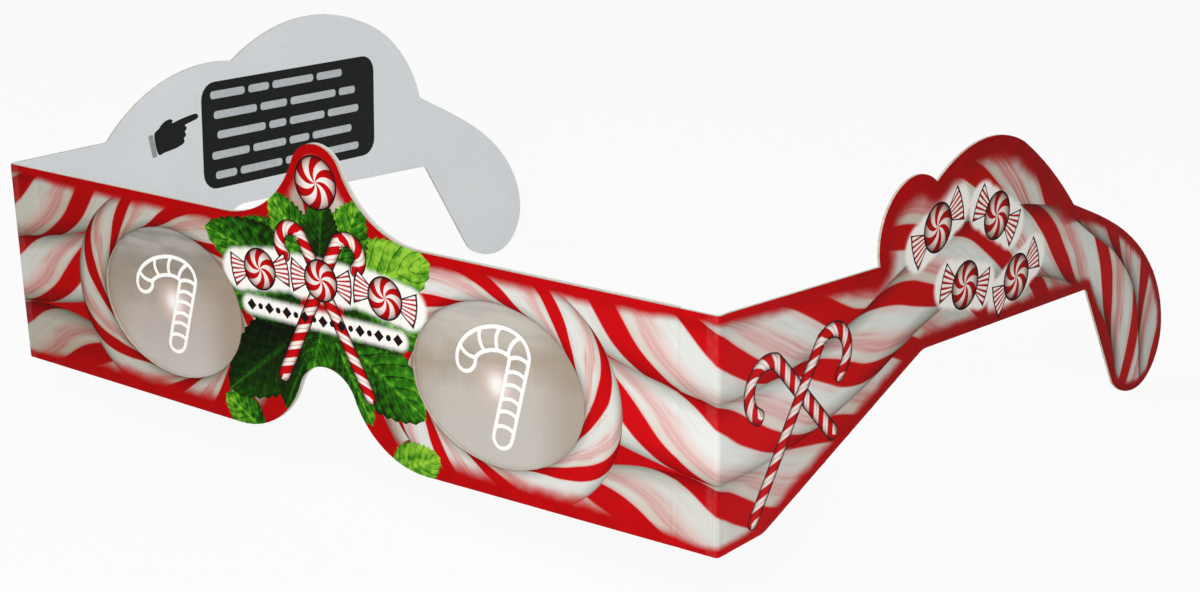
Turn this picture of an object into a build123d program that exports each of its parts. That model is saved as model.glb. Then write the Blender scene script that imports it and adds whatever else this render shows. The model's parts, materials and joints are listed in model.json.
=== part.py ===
"""Folding paperboard glasses with a diffraction film window for each eye.

The front is two die-cut plies of board glued together with the films
between them. One temple turns on the rounded, scored bend at each end.

X runs from left to right as the printed front is looked at, Y runs back
along the temples and Z is up. The origin is the middle of the bridge on
the printed face, level with the centres of the two windows.
"""

import os
from math import cos, radians, sin, sqrt

from build123d import *

# Sheet stock
board_thickness = 0.45
film_thickness = 0.1

# Windows, and the front's board round them
window_spacing = 65.6
window_width = 30.8
window_height = 24.6
window_to_fold = 37.2
rim_above_window = 5.1
rim_below_window = 4.3
lobe_drop = 0.6

# Film, past the window on each side
film_side_margin = 4.5
film_edge_margin = 2.4

# Raised bridge and nose arch
bridge_rise = 13.0
bridge_crown_radius = 5.1
bridge_sweep_radius = 16.0
nose_arch_height = 12.5
nose_arch_radius = 6.0
nose_lobe_radius = 14.3

# Inner ply and the glue that holds it
inner_ply_setback = 6.7
glue_setback = 0.8
glue_film_gap = 0.3

# Scored bends at the two folds
bend_inner_radius = 1.5
crease_bead_radius = 0.3
fold_left_degrees = 92.0
fold_right_degrees = 85.0

# Temples, measured from the bend to the back of the hook
temple_length = 128.3
ear_corner_radius = 1.2
waist_corner_radius = 5.0
heel_corner_radius = 4.0

# Temple outlines, as shares of the temple's length and of the front's height
# above its lower edge. A crest is its first point, then a point on the way and
# the end of each arc. The two die-cut crests differ; the hook is the same.
crest_left_shares = (
    (0.141, 0.985),
    ((0.248, 1.232), (0.373, 1.259)),
    ((0.507, 1.412), (0.639, 1.315)),
    ((0.717, 1.106), (0.761, 0.785)),
)
crest_right_shares = (
    (0.277, 0.924),
    ((0.297, 1.197), (0.389, 1.203)),
    ((0.483, 1.315), (0.583, 1.235)),
    ((0.655, 1.044), (0.719, 0.824)),
)
hook_shares = (
    (0.853, 0.594),
    (0.945, 0.335),
    (0.993, 0.060),
    (0.997, -0.180),
    (0.962, -0.330),
    (0.910, -0.342),
    (0.862, -0.240),
)
ear_corner_share = (0.767, 0.353)
waist_corner_share = (0.372, 0.462)
heel_corner_share = (0.066, 0.0)

# Worked-out sizes
upper_edge = window_height / 2 + rim_above_window
lower_edge = -window_height / 2 - rim_below_window
front_height = upper_edge - lower_edge
bend_outer_radius = bend_inner_radius + board_thickness
front_width = window_spacing + 2 * window_to_fold
flat_half_width = front_width / 2 - bend_outer_radius
inner_ply_half_width = front_width / 2 - inner_ply_setback
film_width = window_width + 2 * film_side_margin
film_height = window_height + 2 * film_edge_margin
inner_ply_depth = board_thickness + film_thickness
left, right = -1, 1


def arc_about(centre, start, end):
    """An arc of under half a turn about a centre, from start to end."""
    centre, start, end = Vector(*centre), Vector(*start), Vector(*end)
    middle_way = ((start - centre) + (end - centre)).normalized()
    middle = centre + middle_way * (start - centre).length
    return ThreePointArc(start, middle, end)


def meeting_point(centre_a, radius_a, centre_b, radius_b):
    """Where two circles that touch from outside meet."""
    share_of_way = radius_a / (radius_a + radius_b)
    return tuple(a + (b - a) * share_of_way for a, b in zip(centre_a, centre_b))


def front_outline(half_width, inset=0):
    """The die-cut outline of the front, drawn in by an inset all round."""
    crown_centre = (0, upper_edge + bridge_rise - bridge_crown_radius)
    sweep_level = upper_edge + bridge_sweep_radius
    sweep_reach = bridge_sweep_radius + bridge_crown_radius
    sweep_centre = (sqrt(sweep_reach**2 - (sweep_level - crown_centre[1]) ** 2), sweep_level)
    crown_radius = bridge_crown_radius - inset
    sweep_radius = bridge_sweep_radius + inset

    arch_centre = (0, lower_edge + nose_arch_height - nose_arch_radius)
    lobe_level = lower_edge - lobe_drop + nose_lobe_radius
    lobe_reach = nose_lobe_radius + nose_arch_radius
    lobe_centre = (sqrt(lobe_reach**2 - (lobe_level - arch_centre[1]) ** 2), lobe_level)
    arch_radius = nose_arch_radius + inset
    lobe_radius = nose_lobe_radius - inset

    crown_top = (0, crown_centre[1] + crown_radius)
    crown_foot = meeting_point(crown_centre, crown_radius, sweep_centre, sweep_radius)
    sweep_foot = (sweep_centre[0], sweep_centre[1] - sweep_radius)
    upper_corner = (half_width - inset, upper_edge - inset)
    lower_corner = (half_width - inset, lower_edge + inset)
    lobe_foot = (lobe_centre[0], lobe_centre[1] - lobe_radius)
    arch_foot = meeting_point(arch_centre, arch_radius, lobe_centre, lobe_radius)
    arch_top = (0, arch_centre[1] + arch_radius)

    with BuildSketch() as outline:
        with BuildLine():
            arc_about(crown_centre, crown_top, crown_foot)
            arc_about(sweep_centre, crown_foot, sweep_foot)
            Polyline(sweep_foot, upper_corner, lower_corner, lobe_foot)
            arc_about(lobe_centre, lobe_foot, arch_foot)
            arc_about(arch_centre, arch_foot, arch_top)
            mirror(about=Plane.YZ)
        make_face()
    return outline.sketch


def window_places():
    """The centres of the two windows."""
    return [(side * window_spacing / 2, 0) for side in (left, right)]


def front_ply(half_width, depth):
    """One ply of the front with its two windows, its face at a depth."""
    holes = Locations(*window_places()) * Ellipse(window_width / 2, window_height / 2)
    face = front_outline(half_width) - holes
    return standing(face, depth, board_thickness)


def standing(face, depth, thickness):
    """A face drawn flat, stood up facing forwards and given a thickness."""
    return extrude(Plane.XZ.offset(-depth) * face, amount=-thickness)


def lens_film(side):
    """One rectangle of diffraction film, larger than its window."""
    place = Pos(side * window_spacing / 2, 0)
    return standing(place * Rectangle(film_width, film_height), board_thickness, film_thickness)


def adhesive_layer():
    """The glue between the plies, set in from the edges and clear of the films."""
    film_room = Rectangle(film_width + 2 * glue_film_gap, film_height + 2 * glue_film_gap)
    face = front_outline(inner_ply_half_width, glue_setback)
    face -= Locations(*window_places()) * film_room
    return standing(face, board_thickness, film_thickness)


def on_side(solid, side):
    """A solid made for the right side, mirrored if it belongs on the left."""
    return solid if side == right else mirror(solid, about=Plane.YZ)


def corner_bend(side, fold_degrees):
    """The rounded, scored stretch of board between the front and a temple."""
    half_angle = fold_degrees / 2
    ring = Circle(bend_outer_radius) - Circle(bend_inner_radius)
    reach = 2 * bend_outer_radius
    rays = [Vector(reach, 0).rotate(Axis.Z, turn) for turn in (-half_angle, 0, half_angle)]
    wedge = make_face(Polyline((0, 0), *rays, close=True))
    section = (ring & wedge) + Pos(bend_inner_radius, 0) * bead_section()
    section = Rot(0, 0, half_angle - 90) * section
    bend = extrude(section, amount=front_height)
    return on_side(Pos(flat_half_width, bend_outer_radius, lower_edge) * bend, side)


def bead_section():
    """The half-round bead that the score raises inside the bend."""
    halved = Pos(crease_bead_radius, 0) * Rectangle(
        2 * crease_bead_radius, 2 * crease_bead_radius
    )
    return Circle(crease_bead_radius) - halved


def temple_face(crest_shares):
    """The flat outline of a temple, from its bend at zero along its length."""

    def place(share):
        return Vector(share[0] * temple_length, lower_edge + share[1] * front_height)

    crest_start, *crest_arcs = crest_shares
    ear_corner, waist_corner, heel_corner = (
        place(share) for share in (ear_corner_share, waist_corner_share, heel_corner_share)
    )
    with BuildSketch() as outline:
        with BuildLine():
            Line((0, upper_edge), place(crest_start))
            here = place(crest_start)
            for via, end in crest_arcs:
                ThreePointArc(here, place(via), place(end))
                here = place(end)
            hook_points = [place(share) for share in hook_shares]
            Spline(here, *hook_points)
            Polyline(hook_points[-1], ear_corner, waist_corner, heel_corner, (0, lower_edge))
            Line((0, lower_edge), (0, upper_edge))
        make_face()
        corner_radii = (
            (ear_corner, ear_corner_radius),
            (waist_corner, waist_corner_radius),
            (heel_corner, heel_corner_radius),
        )
        for corner, radius in corner_radii:
            fillet(outline.vertices().sort_by_distance(corner)[0], radius=radius)
    return outline.sketch


def temple(side, crest_shares, fold_degrees):
    """One temple, standing where its bend ends and facing outwards."""
    turn = radians(fold_degrees)
    bend_end = (
        flat_half_width + bend_outer_radius * sin(turn),
        bend_outer_radius - bend_outer_radius * cos(turn),
        0,
    )
    outer_face = Plane(bend_end, x_dir=(cos(turn), sin(turn), 0), z_dir=(sin(turn), -cos(turn), 0))
    return on_side(extrude(outer_face * temple_face(crest_shares), amount=-board_thickness), side)


def build():
    """Every piece of the glasses under its own name."""
    return {
        "front_panel": front_ply(flat_half_width, 0),
        "back_panel": front_ply(inner_ply_half_width, inner_ply_depth),
        "adhesive_layer": adhesive_layer(),
        "lens_film_left": lens_film(left),
        "lens_film_right": lens_film(right),
        "corner_bend_left": corner_bend(left, fold_left_degrees),
        "corner_bend_right": corner_bend(right, fold_right_degrees),
        "temple_left": temple(left, crest_left_shares, fold_left_degrees),
        "temple_right": temple(right, crest_right_shares, fold_right_degrees),
    }


os.makedirs("parts", exist_ok=True)
for node, solid in build().items():
    solid.label = node
    export_step(solid, f"parts/{node}.step")
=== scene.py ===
import json
from math import ceil, cos, pi, radians, sin, sqrt

import bpy
import numpy as np
from mathutils import Matrix, Vector
from mathutils.geometry import delaunay_2d_cdt


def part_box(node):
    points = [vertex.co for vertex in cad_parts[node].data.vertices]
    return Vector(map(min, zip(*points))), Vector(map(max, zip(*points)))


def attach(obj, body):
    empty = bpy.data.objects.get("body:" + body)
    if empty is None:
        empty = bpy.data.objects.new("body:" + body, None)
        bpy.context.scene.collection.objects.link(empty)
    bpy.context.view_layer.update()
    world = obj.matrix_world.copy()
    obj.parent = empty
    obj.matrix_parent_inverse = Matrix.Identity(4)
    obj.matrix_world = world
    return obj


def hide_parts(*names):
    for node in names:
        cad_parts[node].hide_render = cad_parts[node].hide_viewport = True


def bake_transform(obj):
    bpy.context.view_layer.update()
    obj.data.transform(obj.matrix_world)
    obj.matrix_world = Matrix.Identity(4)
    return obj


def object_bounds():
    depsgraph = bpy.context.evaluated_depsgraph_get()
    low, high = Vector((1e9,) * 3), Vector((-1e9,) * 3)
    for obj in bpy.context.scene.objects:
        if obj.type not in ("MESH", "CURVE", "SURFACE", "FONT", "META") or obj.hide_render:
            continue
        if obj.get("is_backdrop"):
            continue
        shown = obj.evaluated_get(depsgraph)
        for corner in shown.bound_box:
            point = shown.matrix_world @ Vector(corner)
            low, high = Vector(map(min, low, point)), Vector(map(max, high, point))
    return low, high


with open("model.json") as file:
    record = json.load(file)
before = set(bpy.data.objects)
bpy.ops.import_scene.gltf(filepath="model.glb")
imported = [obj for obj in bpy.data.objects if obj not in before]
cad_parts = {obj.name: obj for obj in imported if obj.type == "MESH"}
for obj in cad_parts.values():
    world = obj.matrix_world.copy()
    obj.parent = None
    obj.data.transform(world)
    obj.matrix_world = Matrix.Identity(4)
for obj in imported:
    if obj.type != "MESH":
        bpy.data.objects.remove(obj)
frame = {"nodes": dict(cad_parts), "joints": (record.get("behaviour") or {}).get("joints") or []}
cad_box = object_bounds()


# Camera, table and light
# The glasses stand level, and only the tips of their ear hooks touch the plain pale table. The
# photograph looks down on them from the right of the printed front, under soft, nearly even light.
mm = 0.001
left, right = -1, 1
sides = ((left, "left"), (right, "right"))
# The camera's place and lens are in millimetres, and its turns in degrees.
camera_place = (200.5, -205.6, 101.5)
camera_turn, camera_tilt, camera_roll = 36.01, 18.44, -0.67
camera_lens, camera_sensor = 60.55, 36
# What the camera sees nearest to it and the table's reach are in metres.
camera_nearest, table_reach = 0.01, 3.0
table_colour, table_whitening = "#F7F7F5", 0.9
mottle_size, mottle_tone = 400, 0.99
room_strength = 0.4
# Each lamp's place and width in metres, and its power in watts.
lamps = (
    ("window lamp", (0.27, -0.36, 0.32), 0.4, 1.75),
    ("far lamp", (-0.5, -0.8, 0.9), 0.9, 3.4),
)


def linear(hex_colour):
    """An sRGB colour such as #C4161C as the linear colour that a shader takes."""
    channels = [int(hex_colour[place:place + 2], 16) / 255 for place in (1, 3, 5)]
    return [c / 12.92 if c < 0.04045 else ((c + 0.055) / 1.055) ** 2.4 for c in channels] + [1]


def add(tree, kind, inputs=None, stops=(), **settings):
    """Adds a node to a tree: its settings, what its inputs hold or are fed by, its ramp stops.

    A colour is given as its hex value.
    """
    node = tree.nodes.new(kind)
    for name, value in settings.items():
        setattr(node, name, value)
    for key, value in (inputs or {}).items():
        sockets = [socket for socket in node.inputs if socket.enabled]
        named = [socket for socket in sockets if socket.name == key]
        socket = named[0] if named else sockets[key]
        if isinstance(value, bpy.types.Node):
            value = next(output for output in value.outputs if output.enabled)
        if isinstance(value, bpy.types.NodeSocket):
            tree.links.new(value, socket)
        else:
            socket.default_value = linear(value) if isinstance(value, str) else value
    if stops:
        ramp = node.color_ramp.elements
        while len(ramp) < len(stops):
            ramp.new(1)
        for step, (place, colour) in zip(ramp, stops):
            step.position = place
            step.color = linear(colour)
    return node


def new_material(name):
    """An empty material and its tree."""
    made = bpy.data.materials.new(name)
    made.use_nodes = True
    made.node_tree.nodes.clear()
    return made, made.node_tree


def link_object(name, data):
    """Puts new data into the scene as an object at the origin."""
    made = bpy.data.objects.new(name, data)
    bpy.context.collection.objects.link(made)
    return made


scene = bpy.context.scene
scene.view_settings.view_transform = "Standard"

camera = link_object("camera", bpy.data.cameras.new("camera"))
camera.data.sensor_width = camera_sensor
camera.data.lens = camera_lens
camera.data.clip_start = camera_nearest
camera.matrix_world = (
    Matrix.Translation(Vector(camera_place) * mm)
    @ Matrix.Rotation(radians(camera_turn), 4, "Z")
    @ Matrix.Rotation(radians(90 - camera_tilt), 4, "X")
    @ Matrix.Rotation(radians(camera_roll), 4, "Z")
)
scene.camera = camera

table_corners = [
    (x * table_reach, y * table_reach, cad_box[0].z)
    for x, y in ((-1, -1), (1, -1), (1, 1), (-1, 1))
]
table_mesh = bpy.data.meshes.new("table")
table_mesh.from_pydata(table_corners, [], [(0, 1, 2, 3)])
table = link_object("table", table_mesh)
# Matt laminate: pale, without a highlight, and only a breath of unevenness in its tone.
laminate, tree = new_material("matt laminate")
place = add(tree, "ShaderNodeTexCoord").outputs["Object"]
mottle = add(
    tree, "ShaderNodeTexNoise", {"Vector": place, "Scale": 1 / (mottle_size * mm), "Detail": 2.0}
)
tone = add(tree, "ShaderNodeMapRange", {"Value": mottle, "To Min": mottle_tone, "To Max": 1.0})
colour = add(
    tree, "ShaderNodeMix", {"Factor": 1.0, "A": table_colour, "B": tone},
    data_type="RGBA", blend_type="MULTIPLY",
)
matt = add(tree, "ShaderNodeBsdfDiffuse", {"Color": colour})
white = add(tree, "ShaderNodeEmission", {"Color": "#FFFFFF", "Strength": 1.0})
path = add(tree, "ShaderNodeLightPath")
seen = add(
    tree, "ShaderNodeMath", {0: path.outputs["Is Camera Ray"], 1: table_whitening},
    operation="MULTIPLY",
)
surface = add(tree, "ShaderNodeMixShader", {"Fac": seen, 1: matt, 2: white})
add(tree, "ShaderNodeOutputMaterial", {"Surface": surface})
table_mesh.materials.append(laminate)
table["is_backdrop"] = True

# The room lights the glasses softly, and shows as plain white to the camera and in what is glossy.
world = bpy.data.worlds.new("soft room")
scene.world = world
world.use_nodes = True
tree = world.node_tree
tree.nodes.clear()
path = add(tree, "ShaderNodeLightPath")
seen = path.outputs["Is Camera Ray"]
for ray in ("Is Glossy Ray", "Is Transmission Ray"):
    seen = add(tree, "ShaderNodeMath", {0: seen, 1: path.outputs[ray]}, operation="MAXIMUM")
strength = add(tree, "ShaderNodeMapRange", {"Value": seen, "To Min": room_strength, "To Max": 1.0})
sky = add(tree, "ShaderNodeBackground", {"Color": "#FFFFFF", "Strength": strength})
add(tree, "ShaderNodeOutputWorld", {"Surface": sky})

for name, place, size, power in lamps:
    lamp = link_object(name, bpy.data.lights.new(name, "AREA"))
    lamp.data.shape = "DISK"
    lamp.data.size = size
    lamp.data.energy = power
    lamp.location = place
    lamp.rotation_euler = Vector(place).to_track_quat("Z", "Y").to_euler()


# The die-cut blank
# One sheet of coated board makes the outer ply of the front, both bends and both temples. It is
# printed flat, cut and creased, so the print is drawn here on the flat sheet, in millimetres
# across and up from the middle of the bridge, and stood up along the folds at the end.
board = (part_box("front_panel")[1].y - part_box("front_panel")[0].y) / mm
joints = {joint["name"]: joint for joint in frame["joints"]}
fold_joints = {side: joints["fold_" + name] for side, name in sides}
fold_reach, bend_radius = (place / mm for place in fold_joints[right]["pos_m"][:2])
fold_angle = {side: radians(-fold_joints[side]["range_deg"][0]) for side in (left, right)}
bend_length = {side: bend_radius * fold_angle[side] for side in (left, right)}
temple_start = {side: fold_reach + bend_length[side] for side in (left, right)}
ply_end_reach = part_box("back_panel")[1].x / mm
point_spacing = 0.9
edge_roll_width, edge_roll_depth = 0.22, 0.06
ply_step_width, ply_step_depth = 0.8, 0.09
crease_radius, bead_radius = 0.7, 0.2
bend_strips = 24
plain_map_scale = 0.1
# How nearly alike two directions or two places are to count as the same.
same_way, same_place = 0.999, 0.001


def open_edges(faces):
    """The edges that only one of some faces has, each in the direction of that face."""
    found = {}
    for corners in faces:
        for here, there in zip(corners, corners[1:] + corners[:1]):
            if (there, here) in found:
                del found[there, here]
            else:
                found[here, there] = True
    return list(found)


def face_outlines(node, outward):
    """The closed edges of the flat side of a CAD node that looks outward, in metres."""
    mesh = frame["nodes"][node].data
    places = [tuple(round(value, 7) for value in vertex.co) for vertex in mesh.vertices]
    following = dict(open_edges(
        [places[index] for index in face.vertices]
        for face in mesh.polygons if face.normal.dot(outward) >= same_way
    ))
    outlines = []
    while following:
        start = min(following)
        outline, here = [start], following.pop(start)
        while here != start:
            outline.append(here)
            here = following.pop(here)
        outlines.append(np.array(outline))
    return outlines


def spaced(outline):
    """A closed outline with more points on its long edges."""
    points = []
    for here, there in zip(outline, np.roll(outline, -1, axis=0)):
        count = max(1, ceil(np.linalg.norm(there - here) / point_spacing))
        points += [here + (there - here) * step / count for step in range(count)]
    return np.array(points)


def temple_laid_flat(points, side):
    """Points on the printed side of a temple, in metres, as places on the flat blank."""
    way = np.array([cos(fold_angle[side]), sin(fold_angle[side])])
    start = np.array([fold_reach + bend_radius * way[1], bend_radius - bend_radius * way[0]])
    run = (np.column_stack([points[:, 0] * side, points[:, 1]]) / mm - start) @ way
    return np.column_stack([side * (temple_start[side] + run), points[:, 2] / mm])


def stood_up(flat, depth):
    """Where places on the flat blank, at depths below the print, come to lie, in metres.

    Each bend runs on flat from both ends and turns in a tight crease in its middle.
    """
    side = np.where(flat[:, 0] < 0, left, right)
    angle_whole = np.where(side < 0, fold_angle[left], fold_angle[right])
    bend_whole = bend_radius * angle_whole
    past_fold = np.abs(flat[:, 0]) - fold_reach
    lead = (bend_radius - crease_radius) * np.tan(angle_whole / 2)
    crease_length = crease_radius * angle_whole
    stretch = (2 * lead + crease_length) / bend_whole
    way = np.clip(past_fold, 0, bend_whole) * stretch
    angle = np.clip((way - lead) / crease_radius, 0, angle_whole)
    run = np.maximum(way - lead - crease_length, 0) + np.maximum(past_fold - bend_whole, 0)
    inner_radius = crease_radius - depth
    x = np.minimum(np.abs(flat[:, 0]), fold_reach) + np.minimum(way, lead)
    x = x + inner_radius * np.sin(angle) + run * np.cos(angle)
    y = crease_radius - inner_radius * np.cos(angle) + run * np.sin(angle)
    return np.column_stack([side * x, y, flat[:, 1]]) * mm


# The drawing: its points, its closed outlines and its open lines, and what each outline prints,
# which is an ink, the motif's own map, and how much light it gets.
drawing_points, drawing_cells, drawing_edges = [], [], []
print_outside, print_inside = {}, {}


def cell(outline):
    """Adds a closed outline to the drawing and gives its number."""
    outline = np.asarray(outline, float)
    ahead = np.roll(outline, -1, axis=0)
    if (outline[:, 0] * ahead[:, 1] - outline[:, 1] * ahead[:, 0]).sum() < 0:
        outline = outline[::-1]
    start = len(drawing_points)
    drawing_points.extend(map(tuple, outline))
    drawing_cells.append(list(range(start, len(drawing_points))))
    return len(drawing_cells) - 1


def plain_map(spots):
    """The map of a motif whose ink is plain."""
    return spots * plain_map_scale


def motif(outline, ink, place=plain_map, tone=0.5):
    """Prints a motif over what is printed inside its closed outline so far."""
    print_outside[cell(outline)] = (ink, place, tone)


*windows, front_outline = sorted(
    (spaced(line[:, [0, 2]] / mm) for line in face_outlines("front_panel", Vector((0, -1, 0)))),
    key=lambda line: np.ptp(line[:, 0]),
)
windows.sort(key=lambda line: line[:, 0].mean())
piece_cells = {"front": cell(front_outline)}
window_cells = [cell(window) for window in windows]
fold_levels = front_outline[np.abs(front_outline[:, 0]) > fold_reach - same_place][:, 1]
lower_edge, upper_edge = fold_levels.min(), fold_levels.max()
levels = np.linspace(lower_edge, upper_edge, ceil((upper_edge - lower_edge) / point_spacing))
edge_lines = [front_outline]
for side, name in sides:
    outward = Vector((side * sin(fold_angle[side]), -cos(fold_angle[side]), 0))
    outline = face_outlines("temple_" + name, outward)[0]
    outline = spaced(temple_laid_flat(outline, side))
    piece_cells["temple_" + name] = cell(outline)
    edge_lines.append(outline)
    reaches = fold_reach + bend_length[side] * np.arange(bend_strips + 1) / bend_strips
    piece_cells["bend_" + name] = cell(
        [(side * reach, lower_edge) for reach in reaches]
        + [(side * reaches[-1], level) for level in levels[1:-1]]
        + [(side * reach, upper_edge) for reach in reaches[::-1]]
        + [(side * reaches[0], level) for level in levels[-2:0:-1]]
    )
# Upright lines keep the mesh true over the inner ply's ends and round the bends.
upright_lines = [
    side * (ply_end_reach + step * ply_step_width)
    for side in (left, right) for step in (-1, 0, 1)
] + [
    side * (fold_reach + bend_length[side] * step / bend_strips)
    for side in (left, right) for step in range(1, bend_strips)
]
for reach in upright_lines:
    drawing_edges.append((len(drawing_points), len(drawing_points) + 1))
    drawing_points += [(reach, lower_edge), (reach, upper_edge)]


# Inks and varnish
# The blank is offset printed on white clay-coated board and varnished: saturated inks under a
# thin clear gloss. A red rim is printed soft along every cut edge, and the sweets have a glow.
rim_red, rim_shade = "#CC0C13", "#A6060B"
glow_white = "#F6F4F0"
rim_solid, rim_end, rim_ragged = 1.7, 4.5, 0.9
upper_rim_share, temple_rim_share, fold_rim_share = 0.68, 0.72, 0.42
crest_rim_share, hook_rim_share = 1.15, 0.5
fold_rim_reach = 16.0
glow_solid, glow_end = 0.4, 1.5
streak_size, crack_size = 3.8, 1.1
crack_from, crack_to = 0.40, 0.66
# Creases are made paler by coating wear together with a painted sheen.
coating_wear_and_sheen, crack_wear_and_sheen = 0.012, 0.03
varnish_smooth, varnish_rough, varnish_specular = 0.34, 0.46, 0.03
# The screen dots and the tooth of real print are about 0.1 mm, too fine to show, and are drawn
# four or five times as coarse.
tooth_size, speckle_size, tooth_relief, tooth_depth = 0.4, 0.5, 0.06, 0.1


def mottled(tree, size, detail, first, second):
    """Two colours that mingle in blotches of a size in mm, and the noise that mingles them."""
    place = add(tree, "ShaderNodeTexCoord").outputs["Object"]
    noise = add(
        tree, "ShaderNodeTexNoise",
        {"Vector": place, "Scale": 1 / (size * mm), "Detail": detail},
    )
    colour = add(
        tree, "ShaderNodeMix", {"Factor": noise, "A": first, "B": second}, data_type="RGBA"
    )
    return colour, noise


def printed(tree, ink, rimmed=1.0, glowing=1.0):
    """Finishes a printed material from its ink.

    Over the ink lie the pale glow and the ragged rim. All of it is darkened by painted shade
    towards the left and the hooks, is made a little paler along the creases by wear and a painted
    sheen, and is varnished.
    """
    rim_colour, streaks = mottled(tree, streak_size, 3.0, rim_red, rim_shade)
    place = add(tree, "ShaderNodeTexCoord").outputs["Object"]
    cracks, tooth = (
        add(
            tree, "ShaderNodeTexNoise",
            {"Vector": place, "Scale": 1 / (size * mm), "Detail": detail},
        )
        for size, detail in ((crack_size, 4.0), (tooth_size, 2.0))
    )
    edge, sweet, depth, wear_and_sheen = (
        add(tree, "ShaderNodeAttribute", attribute_name=name).outputs["Fac"]
        for name in ("edge_distance", "sweet_distance", "painted_falloff_shade", "crease_wear_and_sheen")
    )
    ragged = add(
        tree, "ShaderNodeMapRange", {"Value": streaks, "To Min": -rim_ragged, "To Max": rim_ragged}
    )
    edge = add(tree, "ShaderNodeMath", {0: edge, 1: ragged}, operation="ADD")
    rim, glow = (
        add(
            tree, "ShaderNodeMapRange",
            {"Value": distance, "From Min": solid, "From Max": end, "To Min": most, "To Max": 0.0},
            interpolation_type="SMOOTHSTEP",
        )
        for distance, solid, end, most in (
            (edge, rim_solid, rim_end, rimmed), (sweet, glow_solid, glow_end, glowing)
        )
    )
    cracks = add(
        tree, "ShaderNodeMapRange",
        {"Value": cracks, "From Min": crack_from, "From Max": crack_to,
         "To Min": coating_wear_and_sheen, "To Max": crack_wear_and_sheen},
    )
    wear_and_sheen = add(tree, "ShaderNodeMath", {0: wear_and_sheen, 1: cracks}, operation="MULTIPLY")
    colour = ink
    for share, over in ((glow, glow_white), (rim, rim_colour)):
        colour = add(
            tree, "ShaderNodeMix", {"Factor": share, "A": colour, "B": over}, data_type="RGBA"
        )
    # Painted shade: this gamma darkens the print towards the left fold and the hooks.
    colour = add(tree, "ShaderNodeGamma", {"Color": colour, "Gamma": depth})
    # Paler along the creases: coating wear, with a painted sheen.
    colour = add(
        tree, "ShaderNodeMix", {"Factor": wear_and_sheen, "A": colour, "B": glow_white}, data_type="RGBA"
    )
    relief = add(
        tree, "ShaderNodeBump",
        {"Height": tooth, "Strength": tooth_relief, "Distance": tooth_depth * mm},
    )
    gloss = add(
        tree, "ShaderNodeMapRange",
        {"Value": tooth, "To Min": varnish_smooth, "To Max": varnish_rough},
    )
    surface = add(
        tree, "ShaderNodeBsdfPrincipled",
        {"Base Color": colour, "Roughness": gloss, "Normal": relief,
         "Specular IOR Level": varnish_specular},
    )
    add(tree, "ShaderNodeOutputMaterial", {"Surface": surface})


# Flat red ink: the ground that shows wherever no motif is printed over it.
red_ink, tree = new_material("red ink")
colour = mottled(tree, speckle_size, 3.0, rim_red, rim_shade)[0]
printed(tree, colour)


# Candy sticks
# Pulled sugar sticks, white with broad red bands and thin pink lines that wind round them. They
# are printed over most of the blank, and the broad ones lie along the front and the temples.
candy_white, candy_shade, candy_gap = "#E4E7E4", "#CBCCC7", "#958E84"
band_red, line_pink = "#CE0C13", "#E0A09C"
shaded_candy = "#C9BFB2"
band_slant, band_wander, wander_scale = 1.25, 0.05, 0.9
mingle_scale, mingle_from, mingle_to = 0.8, 0.36, 0.54
# Pulling leaves streaks about 1 mm wide, which is 22 to a pitch of a broad stick.
pulled_streaks, streak_from, streak_to, streak_strength = (22.0, 1.2, 1.0), 0.5, 0.8, 0.3
off_band_from, off_band_to = 0.3, 0.4
candy_roundness, nearly_edge = 0.85, 0.999
broad_pitch = 21.0
# Painted shade: sticks and rings on the left side are darker than those on the right.
painted_side_light = {left: -0.15, right: 0.25}
end_steps, spots_at_once = 9, 2000


def smooth_path(points, step=0.8, closed=False):
    """A smooth line through a few points, as many short steps."""
    points = np.asarray(points, float)
    if closed:
        ends = np.vstack([points[-1:], points, points[:2]])
    else:
        ends = np.vstack([2 * points[0] - points[1], points, 2 * points[-1] - points[-2]])
    line = []
    for before, here, there, after in zip(ends, ends[1:], ends[2:], ends[3:]):
        count = max(2, ceil(np.linalg.norm(there - here) / step))
        t = (np.arange(count) / count)[:, None]
        line.append(0.5 * (
            2 * here + (there - before) * t
            + (2 * before - 5 * here + 4 * there - after) * t**2
            + (3 * here - before - 3 * there + after) * t**3
        ))
    line = np.vstack(line)
    return line if closed else np.vstack([line, points[-1]])


def along_path(points, path):
    """How far along a path, and how far to its left, the nearest spot of it lies from points."""
    starts, runs = path[:-1], np.diff(path, axis=0)
    lengths = np.linalg.norm(runs, axis=1)
    travelled = np.concatenate([[0], np.cumsum(lengths)[:-1]])
    along, aside = [], []
    for chunk in np.array_split(points, max(1, len(points) // spots_at_once)):
        offset = chunk[:, None] - starts
        share = np.clip((offset * runs).sum(2) / lengths**2, 0, 1)
        gap = offset - share[:, :, None] * runs
        nearest = np.linalg.norm(gap, axis=2).argmin(1)
        row = np.arange(len(chunk))
        run, out = runs[nearest], offset[row, nearest]
        distance = np.linalg.norm(gap[row, nearest], axis=1)
        along.append(travelled[nearest] + share[row, nearest] * lengths[nearest])
        aside.append(np.copysign(distance, run[:, 0] * out[:, 1] - run[:, 1] * out[:, 0]))
    return np.concatenate(along), np.concatenate(aside)


def ways_of(path):
    """The way ahead and the way to the left at each point of an open path."""
    ahead = np.gradient(path, axis=0)
    ahead /= np.linalg.norm(ahead, axis=1)[:, None]
    return ahead, np.column_stack([-ahead[:, 1], ahead[:, 0]])


def band_outline(path, width):
    """The outline of a band of even width with round ends along an open path."""
    ahead, aside = ways_of(path)
    aside = aside * width / 2
    turn = np.linspace(0, pi, end_steps)[1:-1, None]
    far_end = path[-1] + np.cos(turn) * -aside[-1] + np.sin(turn) * ahead[-1] * width / 2
    near_end = path[0] + np.cos(turn) * aside[0] - np.sin(turn) * ahead[0] * width / 2
    return np.vstack([path - aside, far_end, (path + aside)[::-1], near_end])


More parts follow.
